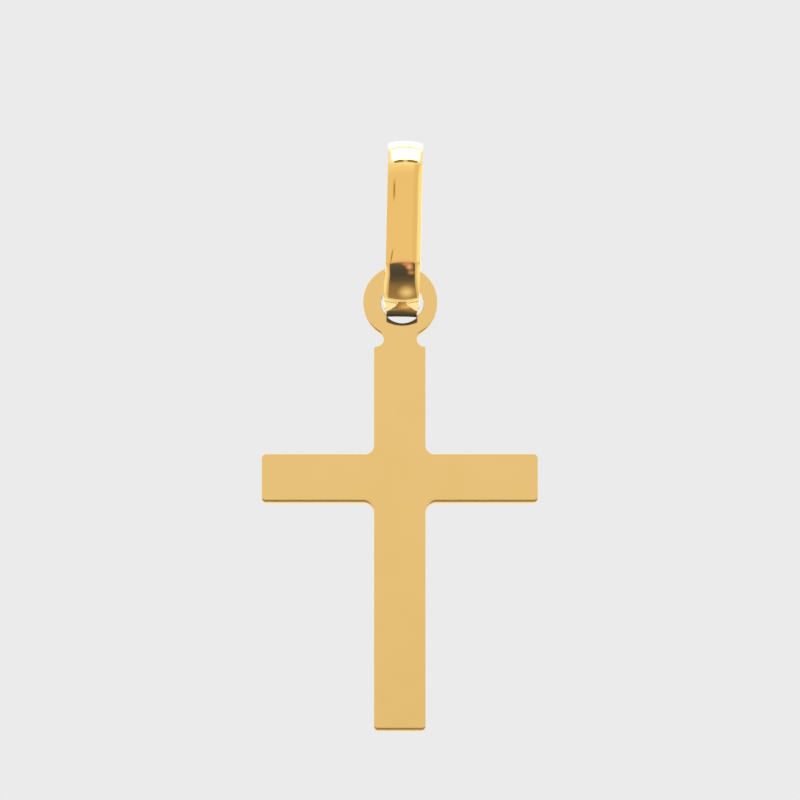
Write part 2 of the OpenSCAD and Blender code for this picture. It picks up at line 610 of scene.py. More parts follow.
@dataclass(frozen=True)
class CrossGold(GoldFinish):
    """The plate's gold: painted warmer orange rims, painted brown shade where they face down, and painted
    light and shade in the hole that the bail hangs in.

    Places and sizes are in millimetres. The overlays are laid by the distance from the hole's middle,
    by the height above it, or by the depth below the plate's nearer face.
    """

    hole: Pair = (-0.1385, -6.6135)
    half_t: float = 0.325
    # Partly real, partly painted: the hole's wall is rougher than the faces, and its paler colour is a
    # painted highlight.
    wall: Overlay = Overlay((0.95, 0.81, 0.57), 0.5, (0.935, 0.955))
    # Painted highlight: a pale matte patch on the upper left of the hole's wall.
    pale_glint: Overlay = Overlay((1.0, 0.92, 0.72), 0.5, (0.10, 0.25))
    pale_glint_side: Pair = (-0.3, -0.1)
    # Painted reflection: a deeper orange on the rounded rims near both faces, for their warmer reflections.
    rim: Overlay = Overlay((0.95, 0.64, 0.22), 0.08, (0.001, 0.006))
    rim_end: Pair = (0.10, 0.12)
    # Painted shade: brown, matte rims where the plate's walls face down.
    down_shade: Overlay = Overlay((0.39, 0.22, 0.048), 0.4, (0.055, 0.08))
    down_shade_share: float = 0.85
    down_shade_start: Pair = (0.0, 0.006)
    down_shade_facing: Pair = (-0.35, -0.10)
    down_shade_from_hole: Pair = (1.1, 1.2)
    # Painted shade: a dark matte U on the hole's lower rim below the bail's foot, its dark reflection painted
    # in.
    painted_shade: Overlay = Overlay((0.12, 0.074, 0.026), 0.45, (-1.075, -1.025))
    painted_shade_top: Pair = (-0.51, -0.45)
    painted_shade_side: Pair = (0.645, 0.705)
    painted_shade_x: float = -0.02
    painted_shade_bow_r: float = 1.45

    def extras(self, make: GoldShader) -> None:
        """Lays the overlays of the hole's wall and of the rims, and the painted shade under the bail's foot.

        Args:
            make: The material's builder.
        """
        x, y, z = make.place()
        depth = make.minus(self.half_t, make.math("ABSOLUTE", y))
        across, up = (make.minus(value, middle) for value, middle in zip((x, z), self.hole))
        radius = make.length(across, up)
        # The hole's wall: rougher, with a paler colour that is a painted highlight.
        on_wall = make.fall(radius, *self.wall.edge)
        make.lay(on_wall, self.wall)
        # Painted highlight: pale and matte on the upper left of the hole's wall.
        glinting = make.times(make.fade(up, *self.pale_glint.edge), make.fall(across, *self.pale_glint_side), on_wall)
        make.lay(glinting, self.pale_glint)
        # Painted reflection: the rounded rims are coloured a deeper orange.
        painted_warmth = make.times(make.band(depth, (self.rim.edge, self.rim_end)), make.minus(1.0, on_wall))
        make.lay(painted_warmth, self.rim)
        # Painted shade on the rims that face down.
        down_shade = self._shaded_rims(make, depth, radius)
        make.lay(down_shade, self.down_shade)
        # Painted shade: the dark reflection of the bail's foot on the hole's lower rim.
        shaded = self._under_foot(make, across, up)
        make.lay(shaded, self.painted_shade)
        make.dull(make.most(shaded, glinting, down_shade))

    def _shaded_rims(self, make: GoldShader, depth: Socket, radius: Socket) -> Socket:
        """Finds the rims that face down, away from the hole, for a painted brown shade.

        Args:
            make: The material's builder.
            depth: The depth below the plate's nearer face.
            radius: The distance from the hole's middle.

        Returns:
            The painted shade's mask.
        """
        facing = make.split(make.coordinates("Normal"))[2]
        return make.times(
            make.fade(facing, *self.down_shade_facing, self.down_shade_share, 0.0),
            make.band(depth, (self.down_shade_start, self.down_shade.edge)),
            make.fade(radius, *self.down_shade_from_hole),
        )

    def _under_foot(self, make: GoldShader, across: Socket, up: Socket) -> Socket:
        """Finds the part of the hole's lower rim just below the bail's foot, for a painted shade: the foot's
        dark reflection.

        Args:
            make: The material's builder.
            across: How far to the right of the hole's middle a point is.
            up: How far above it the point is.

        Returns:
            The painted shade's mask.
        """
        inside = make.fall(make.apart(across, self.painted_shade_x), *self.painted_shade_side)
        bow = make.times(across, across, 0.5 / self.painted_shade_bow_r)
        above = make.fade(make.minus(up, bow), *self.painted_shade.edge)
        return make.times(inside, above, make.fall(up, *self.painted_shade_top))


@dataclass(frozen=True)
class BailGold(GoldFinish):
    """The bail's gold: two painted dark streaks down its front leg, and painted light and shade on its foot
    and its worn flats.

    Places and sizes are in millimetres. The strip's middle keeps its polish between the two flats,
    and most overlays are laid by the height on the piece.
    """

    foot_x: float = -0.147
    # Painted reflection: two fine dark streaks down the front leg, for the dark opening reflected there.
    streaks: tuple[Streak, ...] = (
        Streak((-0.49, -1.95), 0.024, 0.62, 0.038),
        Streak((-0.60, -4.88), 0.17, 0.40, 0.030),
    )
    dark_streak: Overlay = Overlay((0.50, 0.26, 0.05), 0.12, (0.25, 1.6))
    dark_streak_end: Pair = (0.2, 1.0)
    middle_sides: tuple[Pair, Pair] = ((-1.05, -6.934), (-2.5, -16.983))
    middle_edge: Pair = (-0.02, 0.03)
    # Painted reflection: a paler gold on the middle of the lower bend.
    pale_reflection: Overlay = Overlay((1.0, 0.79, 0.42), 0.06, (-6.80, -6.76))
    # Painted shade: a darker brown gold low on the foot's middle.
    low_shade: Overlay = Overlay((0.62, 0.43, 0.20), 0.10, (-7.05, -6.95))
    tilt: float = 0.06
    # Painted reflection: the worn flats are a pale matte yellow that stands in for their bright reflections.
    flat: Overlay = Overlay((1.0, 0.80, 0.36), 0.4, (-6.87, -6.84))
    flat_side: Pair = (-0.06, -0.02)
    flat_slope: float = 0.286
    # Painted shade: a dark olive line where each worn flat meets its ledge.
    dark_line: Overlay = Overlay((0.56, 0.40, 0.08), 0.4, (0.008, 0.026))
    dark_line_side: Pair = (-0.02, 0.02)
    dark_line_z: float = -6.895
    # Painted shade: the foot's underside is dark and matte, turning warmer brown higher up, for the dark it
    # reflects.
    painted_shade: Overlay = Overlay((0.115, 0.088, 0.034), 0.5, (-7.105, -7.085))
    painted_shade_middle: Pair = (-7.065, -6.96)
    warm_painted_shade: Colour = (0.40, 0.185, 0.046)
    warm_edge: Pair = (-7.125, -7.0)

    def extras(self, make: GoldShader) -> None:
        """Draws the painted streaks, and lays the painted light and shade of the lower bend's middle, its
        flats and its foot.

        Args:
            make: The material's builder.
        """
        x, y, z = make.place()
        # Painted reflection: the dark streaks on the front leg.
        self._streaks(make, x, z, make.math("LESS_THAN", y, 0.0))
        across = make.minus(x, self.foot_x)
        off_middle = make.math("ABSOLUTE", across)
        sides = (make.line(z, slope, reach) for slope, reach in self.middle_sides)
        beside = make.minus(off_middle, make.most(*sides))
        inside = make.fall(beside, *self.middle_edge)
        # Painted reflection: a paler gold on the lower bend's middle.
        make.lay(make.times(make.fall(z, *self.pale_reflection.edge), inside), self.pale_reflection)
        # Painted shade: darker brown low on the foot's middle.
        rightward = make.line(across, -self.tilt, z)
        make.lay(make.times(make.fall(rightward, *self.low_shade.edge), inside), self.low_shade)
        # Painted reflection: pale matte yellow on the worn flats.
        below = make.line(off_middle, -self.flat_slope, z)
        flat = make.times(make.fall(below, *self.flat.edge), make.fade(beside, *self.flat_side))
        make.lay(flat, self.flat)
        # Painted shade: the dark line at each flat's ledge.
        off_dark_line = make.apart(below, self.dark_line_z)
        dark_line = make.times(make.fall(off_dark_line, *self.dark_line.edge), make.fade(beside, *self.dark_line_side))
        make.lay(dark_line, self.dark_line)
        # Painted shade: the foot's underside and the middle above it, dark and matte.
        middle = make.times(make.fall(z, *self.painted_shade_middle), inside)
        shaded = make.most(make.fall(z, *self.painted_shade.edge), middle)
        leftward = make.line(across, self.tilt, z)
        colour = make.mix(make.fade(leftward, *self.warm_edge), self.painted_shade.colour, self.warm_painted_shade)
        make.lay(shaded, self.painted_shade, colour)
        make.dull(make.most(shaded, flat))

    def _streaks(self, make: GoldShader, x: Socket, z: Socket, front: Socket) -> None:
        """Draws each streak on the front leg: a painted dark reflection.

        Args:
            make: The material's builder.
            x: The point's place from left to right.
            z: The point's height.
            front: A mask that is 1 on the front leg.
        """
        for streak in self.streaks:
            up = make.minus(z, streak.place[1])
            off = make.apart(x, make.line(up, streak.slope, streak.place[0]))
            across = make.fall(off, *(streak.half_width * share for share in self.dark_streak.edge))
            ends = (streak.half_length * share for share in self.dark_streak_end)
            along = make.fall(make.math("ABSOLUTE", up), *ends)
            make.lay(make.times(across, along, front), self.dark_streak)


@dataclass
class Cross:
    """The flat cross with its eyelet, cut from one plate. Sizes are in millimetres, turns in degrees."""

    finish: GoldFinish
    arm_span: float = 12.0
    arm_h: float = 2.12
    upright_w: float = 2.24
    upper_limb: float = 4.75
    lower_limb: float = 10.02
    plate_t: float = 0.65
    tip_r: float = 0.2
    crotch_r: float = 0.38
    low_crotch_r: float = 0.45
    shoulder_r: float = 0.04
    shoulder_drop: float = 0.045
    eye_r: float = 1.6153
    hole_r: float = 0.9253
    hole_shift: float = 0.09
    eye_shift: float = 0.022
    neck_w: float = 1.44
    notch_r: float = 0.33
    rim_r: float = 0.105
    upper_rim_share: float = 0.05
    rim_power: int = 3
    hole_rim_r: float = 0.10
    hole_upper_rim_r: float = 0.008
    hole_centre: Pair = (-0.1385, -6.6135)
    rubbed_below: Pair = (0.30, 0.45)
    rubbed_side: Pair = (0.60, 0.70)
    burrs: tuple[Pair, ...] = ((-143.0, 0.05), (-40.0, 0.05))
    burr_spread: float = 12.0
    ring_steps: int = 110
    notch_steps: int = 40
    corner_steps: int = 14
    rim_steps: int = 6
    hole_steps: int = 144
    smooth_below: float = 40.0

    @property
    def middle_x(self) -> float:
        """The upright's centre line."""
        return self.hole_centre[0] - self.hole_shift - self.eye_shift

    @property
    def notch_x(self) -> float:
        """How far each notch's centre is from the centre line."""
        return self.neck_w / 2 + self.notch_r

    @property
    def shoulder_z(self) -> float:
        """The height of the shoulders."""
        reach = self.eye_r + self.notch_r
        return self.hole_centre[1] - self.notch_r - math.sqrt(reach**2 - self.notch_x**2)

    @property
    def levels(self) -> Point:
        """The arms' top, the arms' underside and the foot."""
        top = self.shoulder_z - self.upper_limb
        return top, top - self.arm_h, top - self.arm_h - self.lower_limb

    def build(self) -> bpy.types.Object:
        """Models the plate, dresses it and lets it ride on its body.

        Returns:
            The finished piece.
        """
        plate = self._half_outline()
        self._close_plate(plate)
        self._round_rims(plate)
        Bench.cut_away(plate, self._drill())
        Bench.finish(plate, self.smooth_below)
        plate.data.materials.append(self.finish.material())
        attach(plate, "cross")
        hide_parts("cross")
        return plate

    def _half_outline(self) -> bpy.types.Object:
        """Draws the right half of the outline, from the ring's top to the middle of the foot.

        Returns:
            The new object, in edit mode.
        """
        front, ring_z, middle = -self.plate_t / 2, self.hole_centre[1], self.middle_x
        top, low, foot = self.levels
        notch_z = self.shoulder_z + self.notch_r
        plate = Bench.start_vertex("cross_plate", (middle, front, ring_z + self.eye_r))
        turn = 180.0 - math.degrees(math.atan2(self.notch_x, ring_z - notch_z))
        Bench.draw_arc((middle, front, ring_z), (0, 1, 0), turn, self.ring_steps)
        Bench.draw_arc((middle + self.notch_x, front, notch_z), (0, 1, 0), -turn, self.notch_steps)
        half_w, half_span = self.upright_w / 2, self.arm_span / 2
        corners = [
            (self.notch_x, self.shoulder_z),
            (half_w, self.shoulder_z - self.shoulder_drop),
            (half_w, top),
            (half_span, top),
            (half_span, low),
            (half_w, low),
            (half_w, foot),
            (0.0, foot),
        ]
        for (x0, z0), (x1, z1) in zip(corners, corners[1:]):
            Bench.draw_line((x1 - x0, 0, z1 - z0))
        return plate

    def _close_plate(self, plate: bpy.types.Object) -> None:
        """Mirrors the half, fills the outline, rounds its corners and gives it its thickness.

        Args:
            plate: The half outline.
        """
        about_x = (True, False, False)
        Bench.modify(plate, "MIRROR", use_axis=about_x, merge_threshold=MERGE, use_mirror_merge=True)
        bpy.ops.object.transform_apply(location=True, rotation=False, scale=False)
        bpy.ops.object.mode_set(mode="EDIT")
        Bench.merge_doubles()
        Bench.pick(plate, Part.VERTEX, lambda v: self._in_eyelet(v.co))
        bpy.ops.transform.translate(value=(self.eye_shift * MM, 0, 0))
        bpy.ops.mesh.select_all(action="SELECT")
        bpy.ops.mesh.edge_face_add()
        top, low, foot = self.levels
        half_w, half_span = self.upright_w / 2, self.arm_span / 2
        rounds = (
            (self.shoulder_r, [(half_w, self.shoulder_z - self.shoulder_drop)]),
            (self.crotch_r, [(half_w, top)]),
            (self.low_crotch_r, [(half_w, low)]),
            (self.tip_r, [(half_span, top), (half_span, low), (half_w, foot)]),
        )
        for radius, corners in rounds:
            Bench.pick(plate, Part.VERTEX, lambda v, c=corners: self._is_corner(v.co, c))
            Bench.round_corners(radius, self.corner_steps)
        bpy.ops.mesh.select_all(action="SELECT")
        Bench.draw_line((0, self.plate_t, 0))
        Bench.merge_and_face_out()
        bpy.ops.object.mode_set(mode="OBJECT")

    def _in_eyelet(self, place: Vector) -> bool:
        """Says whether a vertex of the outline belongs to the ring or its neck."""
        x, up = abs(place.x / MM - self.middle_x), place.z / MM - self.shoulder_z
        return up > NEAR or (up > -NEAR and x < self.upright_w / 2 - NEAR)

    def _is_corner(self, place: Vector, corners: Iterable[Pair]) -> bool:
        """Says whether a vertex is at one of the corners, on either side of the upright."""
        x, z = abs(place.x / MM - self.middle_x), place.z / MM
        return any(abs(x - cx) < NEAR and abs(z - cz) < NEAR for cx, cz in corners)

    def _drill(self) -> bpy.types.Object:
        """Turns the drill for the eyelet's hole, flared at both faces so that it rounds the rims.

        Returns:
            The cutter.
        """
        (x, z), half_t, rim = self.hole_centre, self.plate_t / 2, self.hole_rim_r
        flare = x + self.hole_r + rim
        drill = Bench.start_vertex("drill", (flare, -self.plate_t, z))
        Bench.draw_line((0, half_t, 0))
        Bench.draw_arc((flare, rim - half_t, z), (0, 0, 1), -90.0, self.rim_steps)
        Bench.draw_line((0, self.plate_t - 2 * rim, 0))
        Bench.draw_arc((flare, half_t - rim, z), (0, 0, 1), -90.0, self.rim_steps)
        Bench.draw_line((0, half_t, 0))
        bpy.ops.mesh.select_all(action="SELECT")
        Bench.draw_arc((x, 0, z), (0, 1, 0), 360.0, self.hole_steps)
        bpy.ops.object.mode_set(mode="OBJECT")
        bpy.ops.object.transform_apply(location=True, rotation=False, scale=False)
        bpy.ops.object.mode_set(mode="EDIT")
        Bench.merge_doubles()
        end = (self.plate_t - NEAR) * MM
        for side in (-1, 1):
            Bench.pick(drill, Part.EDGE, lambda e, s=side: all(v.co.y * s > end for v in e.verts))
            bpy.ops.mesh.edge_face_add()
        Bench.reshape(drill, self._wear_drill)
        Bench.merge_and_face_out()
        bpy.ops.object.mode_set(mode="OBJECT")
        return drill

    def _wear_drill(self, place: Point) -> Point:
        """Gives the drill the hole's worn form: round rims under the bail alone, and two low burrs.

        Args:
            place: A vertex's place.

        Returns:
            Its new place.
        """
        (x, z), half_t = self.hole_centre, self.plate_t / 2
        across, y, up = place[0] - x, place[1], place[2] - z
        reach, turn = math.hypot(across, up), math.degrees(math.atan2(up, across))
        rubbed = Bench.step(-up, *self.rubbed_below) * (1.0 - Bench.step(abs(across), *self.rubbed_side))
        share = (self.hole_upper_rim_r + (self.hole_rim_r - self.hole_upper_rim_r) * rubbed) / self.hole_rim_r
        near = ((height, abs(turn - middle)) for middle, height in self.burrs)
        burr = sum(height * (1.0 - Bench.step(away, 0.0, self.burr_spread)) for height, away in near)
        worn = self.hole_r - burr + (reach - self.hole_r) * share
        depth = half_t - abs(y)
        if depth > 0:
            y = math.copysign(half_t - depth * share, y)
        return x + across * worn / reach, y, z + up * worn / reach

    def _round_rims(self, plate: bpy.types.Object) -> None:
        """Rounds every rim: well where it faces down, hardly where it faces up.

        Args:
            plate: The plate, not yet drilled.
        """
        bpy.ops.object.mode_set(mode="EDIT")
        Bench.pick(plate, Part.EDGE, self._is_rim)
        mesh = bmesh.from_edit_mesh(plate.data)
        weight = mesh.edges.layers.float.new("bevel_weight_edge")
        for edge in mesh.edges:
            if edge.select:
                edge[weight] = self._rim_share(edge)
        bmesh.update_edit_mesh(plate.data)
        Bench.modify(
            plate,
            "BEVEL",
            limit_method="WEIGHT",
            width=self.rim_r * MM,
            segments=self.rim_steps,
            profile=ROUND,
            use_clamp_overlap=False,
        )
        bpy.ops.object.mode_set(mode="EDIT")
        Bench.merge_and_face_out()
        bpy.ops.object.mode_set(mode="OBJECT")

    def _rim_share(self, edge: bmesh.types.BMEdge) -> float:
        """Gives how much of the full rim radius an edge has, by how much the wall there faces down.

        Args:
            edge: An edge between a flat face and a wall.

        Returns:
            The share, from 0 to 1.
        """
        wall = min(edge.link_faces, key=lambda face: abs(face.normal.y))
        down = max(0.0, -wall.normal.z) ** self.rim_power
        return self.upper_rim_share + (1.0 - self.upper_rim_share) * down

    def _is_rim(self, edge: bmesh.types.BMEdge) -> bool:
        """Says whether an edge joins a flat face to a wall."""
        flat = [abs(face.normal.y) > SQUARE for face in edge.link_faces]
        return len(flat) == 2 and flat[0] != flat[1]


@dataclass
class Bail:
    """The long closed loop of domed strip. Sizes are in millimetres.

    Turns are in degrees below level, round the lower bend from either leg.
    """

    finish: GoldFinish
    height: float = 7.74
    depth: float = 3.96
    strip_w: float = 1.48
    foot_w: float = 1.32
    strip_t: float = 0.55
    foot_t: float = 0.9
    skin: float = 0.3
    crown_r: float = 2.6
    edge_r: float = 0.14
    inner_edge_r: float = 0.05
    taper_h: float = 0.5
    lean: float = 1.2
    ease: float = 0.3
    ease_angle: float = 15.0
    bend_spread: float = 0.035
    bend_shift: float = 0.035
    spread_turns: Pair = (10.0, 30.0)
    foot_turns: Pair = (50.0, 68.0)
    hollow_turns: Pair = (70.0, 80.0)
    foot_flatness: float = 0.8
    foot_hollow: float = 1.2
    foot_lift: float = 0.02
    foot_shift: float = 0.02
    foot_narrowing: float = 0.03
    flat_start: float = 52.0
    flat_end: Pair = (70.5, 75.0)
    flat_inner: float = 0.23
    flat_widening: float = 0.019
    flat_slope: float = 0.36
    ledge: float = 0.3
    ledge_tilt: float = 14.0
    ledge_middle: float = 0.44
    ledge_inner: float = 0.19
    ledge_slack: float = 0.1
    tilt_fade: float = 12.0
    bend_steps: int = 144
    crown_steps: int = 36
    edge_steps: int = 6
    inner_edge_steps: int = 3
    smooth_below: float = 40.0

    @property
    def bend_r(self) -> float:
        """The outer radius of both bends."""
        return self.depth / 2

    @property
    def slot_r(self) -> float:
        """The radius of both ends of the long opening."""
        return self.bend_r - self.strip_t

    @property
    def foot_z(self) -> float:
        """The lowest point of the loop."""
        return self.strip_t - self.height

    @property
    def bends(self) -> Pair:
        """The heights of the lower and of the upper bend's centre."""
        return self.foot_z + self.bend_r, -self.slot_r

    @property
    def row(self) -> float:
        """The turn between two rows of vertices round a bend."""
        return 180.0 / self.bend_steps

    def build(self) -> bpy.types.Object:
        """Models the loop, dresses it and lets it ride on its body.

        Returns:
            The finished piece.
        """
        loop = self._section()
        self._sweep(loop)
        Bench.reshape(loop, self._ease)
        Bench.reshape(loop, self._wear_flat)
        Bench.pick(loop, Part.EDGE, self._on_ledge)
        bpy.ops.mesh.mark_sharp()
        Bench.reshape(loop, self._form_foot)
        self._thicken_foot(loop)
        Bench.reshape(loop, self._taper)
        bpy.ops.object.mode_set(mode="OBJECT")
        loop.rotation_euler = (0.0, math.radians(self.lean), 0.0)
        Bench.finish(loop, self.smooth_below)
        loop.data.materials.append(self.finish.material())
        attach(loop, "bail")
        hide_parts("bail")
        return loop

    def _section(self) -> bpy.types.Object:
        """Shapes the strip's section at the foot of the front leg: a domed outer side and round edges.

        Returns:
            The new object, in edit mode with the section's edges selected.
        """
        Bench.clear()
        middle_y = -(self.bend_r - self.strip_t / 2) * MM
        bpy.ops.mesh.primitive_plane_add(size=MM, location=(0, middle_y, self.bends[0] * MM))
        loop = bpy.context.object
        loop.name = "bail_loop"
        loop.data.name = "bail_loop"
        loop.scale = (self.strip_w, self.strip_t, 1.0)
        bpy.ops.object.transform_apply(location=True, rotation=True, scale=True)
        bpy.ops.object.mode_set(mode="EDIT")
        Bench.pick(loop, Part.EDGE, lambda e: all(v.co.y < middle_y for v in e.verts))
        bpy.ops.mesh.subdivide(number_cuts=self.crown_steps)
        Bench.reshape(loop, self._dome)
        edges = ((-1, self.edge_r, self.edge_steps), (1, self.inner_edge_r, self.inner_edge_steps))
        for side, radius, steps in edges:
            Bench.pick(loop, Part.VERTEX, lambda v, s=side: self._is_edge(v.co, s))
            Bench.round_corners(radius, steps)
        bpy.ops.mesh.select_mode(type=Part.FACE.value)
        bpy.ops.mesh.select_all(action="SELECT")
        bpy.ops.mesh.delete(type="ONLY_FACE")
        bpy.ops.mesh.select_mode(type=Part.EDGE.value)
        bpy.ops.mesh.select_all(action="SELECT")
        return loop

    def _is_edge(self, place: Vector, side: int) -> bool:
        """Says whether a vertex is at an edge of the section, on its outer or its inner side."""
        off_middle = place.y / MM + self.bend_r - self.strip_t / 2
        return abs(place.x) / MM > self.strip_w / 2 - NEAR and off_middle * side > 0

    def _sink(self, across: float) -> float:
        """Gives how far the dome lies below its crest at a place across the strip."""
        return self.crown_r - math.sqrt(self.crown_r**2 - across**2)

    def _dome(self, place: Point) -> Point:
        """Moves a vertex of the strip's outer side onto the dome."""
        outer = place[1] < -(self.bend_r - self.strip_t / 2)
        return (place[0], self._sink(place[0]) - self.bend_r, place[2]) if outer else place

    def _sweep(self, loop: bpy.types.Object) -> None:
        """Takes the section round the lower bend, up the back, over the top and down the front.

        Args:
            loop: The section, with its edges selected.
        """
        low, high = self.bends
        for bend, rise in ((low, high - low), (high, low - high)):
            Bench.draw_arc((0, 0, bend), (1, 0, 0), 180.0, self.bend_steps)
            Bench.draw_line((0, 0, rise))
        Bench.merge_and_face_out()

    def _on_bend(self, place: Point) -> Pair:
        """Gives how far round the lower bend a point is, and how far from the bend's middle line."""
        y, z = abs(place[1]), place[2] - self.bends[0]
        return math.degrees(math.atan2(-z, y)), math.hypot(y, z)

    def _ease(self, place: Point) -> Point:
        """Lets each leg run gently into the lower bend, as a strip bent by hand does.

        Args:
            place: A vertex's place.

        Returns:
            Its new place.
        """
        x, y, z = place
        turn, _ = self._on_bend(place)
        if -NEAR < turn < self.ease_angle:
            z += self.ease * (1.0 - turn / self.ease_angle) ** 2
        return x, y, z

    def _wear_flat(self, place: Point) -> Point:
        """Wears a small flat on each side of the lower bend's outer face, above the foot.

        Each flat starts in a narrow ledge, and the rows of vertices near it tilt with it.

        Args:
            place: A vertex's place.

        Returns:
            Its new place.
        """
        turn, reach = self._on_bend(place)
        away, across = turn - self.flat_start, abs(place[0])
        if reach < self.bend_r - self.skin or away < -self.tilt_fade:
            return place
        inner = self.flat_inner + self.flat_widening * max(0.0, away)
        if across >= inner and -self.row <= away < 0.0:
            turn = self.flat_start - self.ledge
        elif across >= inner and away >= 0.0:
            flat = self.bend_r - self._sink(across) - self.flat_slope * (across - inner)
            reach += (flat - reach) * (1.0 - Bench.step(turn, *self.flat_end))
            turn = self.flat_start if away < self.row else turn
        turn += self._tilt(across) * (1.0 - Bench.step(abs(away), self.row, self.tilt_fade))
        y, z = reach * math.cos(math.radians(turn)), reach * math.sin(math.radians(turn))
        return place[0], math.copysign(y, place[1]), self.bends[0] - z

    def _tilt(self, across: float) -> float:
        """Gives how much further round the bend the ledge lies at a place across the strip."""
        return self.ledge_tilt * (self.ledge_middle - max(across, self.flat_inner))

    def _on_ledge(self, edge: bmesh.types.BMEdge) -> bool:
        """Says whether an edge runs across the strip along either side of a worn flat's upper end.

        Args:
            edge: An edge of the loop.

        Returns:
            Whether it is one that stays sharp.
        """
        places = [Bench.millimetres(vertex.co) for vertex in edge.verts]
        turns = [self._on_bend(place)[0] - self._tilt(abs(place[0])) for place in places]
        rows = (self.flat_start - self.ledge, self.flat_start)
        outer = all(abs(place[0]) > self.ledge_inner for place in places)
        return outer and any(all(abs(turn - row) < self.ledge_slack for turn in turns) for row in rows)

    def _form_foot(self, place: Point) -> Point:
        """Spreads the strip a little round the lower bend, narrows its foot and hollows it from below.

        Args:
            place: A vertex's place.

        Returns:
            Its new place.
        """
        x, y, z = place
        turn, reach = self._on_bend(place)
        low_down = Bench.step(turn, *self.foot_turns)
        spread = Bench.step(turn, *self.spread_turns) * (1.0 - low_down)
        x += (x * self.bend_spread - self.bend_shift) * spread
        x -= (x * self.foot_narrowing + self.foot_shift) * low_down
        if reach > self.bend_r - self.skin:
            sink = self._sink(min(abs(x), self.foot_w / 2))
            out = self.foot_flatness * (self.bend_r - reach - sink) + self.foot_hollow * sink - self.foot_lift
            out *= Bench.step(turn, *self.hollow_turns) / reach
            y, z = y * (1.0 + out), z + (z - self.bends[0]) * out
        return x, y, z

    def _thicken_foot(self, loop: bpy.types.Object) -> None:
        """Raises the inside of the lower bend of the loop, which is in edit mode."""
        Bench.pick(loop, Part.VERTEX, lambda v: self._inside_low_bend(Bench.millimetres(v.co)))
        bpy.ops.transform.translate(value=(0, 0, (self.foot_t - self.strip_t) * MM))

    def _inside_low_bend(self, place: Point) -> bool:
        """Says whether a vertex is on the inside of the lower bend."""
        turn, reach = self._on_bend(place)
        return turn > -NEAR and reach < self.slot_r + self.inner_edge_r + NEAR

    def _taper(self, place: Point) -> Point:
        """Narrows the strip towards its foot.

        Args:
            place: A vertex's place.

        Returns:
            Its new place.
        """
        depth = (self.foot_z + self.taper_h - place[2]) / self.taper_h
        share = min(max(depth, 0.0), 1.0) * (1.0 - self.foot_w / self.strip_w)
        return place[0] * (1.0 - share), place[1], place[2]


@dataclass(frozen=True)
class Patch:
    """A soft-edged part of the tent's walls: its colour, and the sideways places between which it fades."""

    colour: Colour
    edge: Pair


@dataclass(frozen=True)
class Glow:
    """A round soft spot: its height and its sideways place, each with half its size, and its colour."""

    up: Pair
    across: Pair
    colour: Colour


class TentShader(ShaderBuilder):
    """Builds the nodes that colour a direction by its height and its sideways part, as in Studio."""

    def __init__(self, tree: bpy.types.NodeTree, brightest: float) -> None:
        """Finds the direction's height and its sideways part.

        Args:
            tree: The world's node tree.
            brightest: The world's strength, which every colour is divided by.
        """
        super().__init__(tree)
        self.brightest = brightest
        self.x, y, z = self.split(self.coordinates("Generated"))
        self.height = self.math("DEGREES", self.math("ARCTAN2", z, self.times(y, -1.0)))

    def scaled(self, colour: Colour) -> Colour:
        """Divides a colour by the world's strength."""
        return tuple(value / self.brightest for value in colour)

    def walls(self, bands: Sequence[tuple[float, Colour]]) -> Socket:
        """Colours directions by their height, on a ramp that runs from -180 to 180 degrees."""
        share = self.line(self.height, 1.0 / 360.0, 0.5)
        return self.ramp(share, [(up / 360.0 + 0.5, self.scaled(colour)) for up, colour in bands])

    def cover(self, tent: Socket, mask: Socket, colour: Colour) -> Socket:
        """Covers a part of the tent with a colour where a mask is 1."""
        return self.mix(mask, tent, self.scaled(colour))


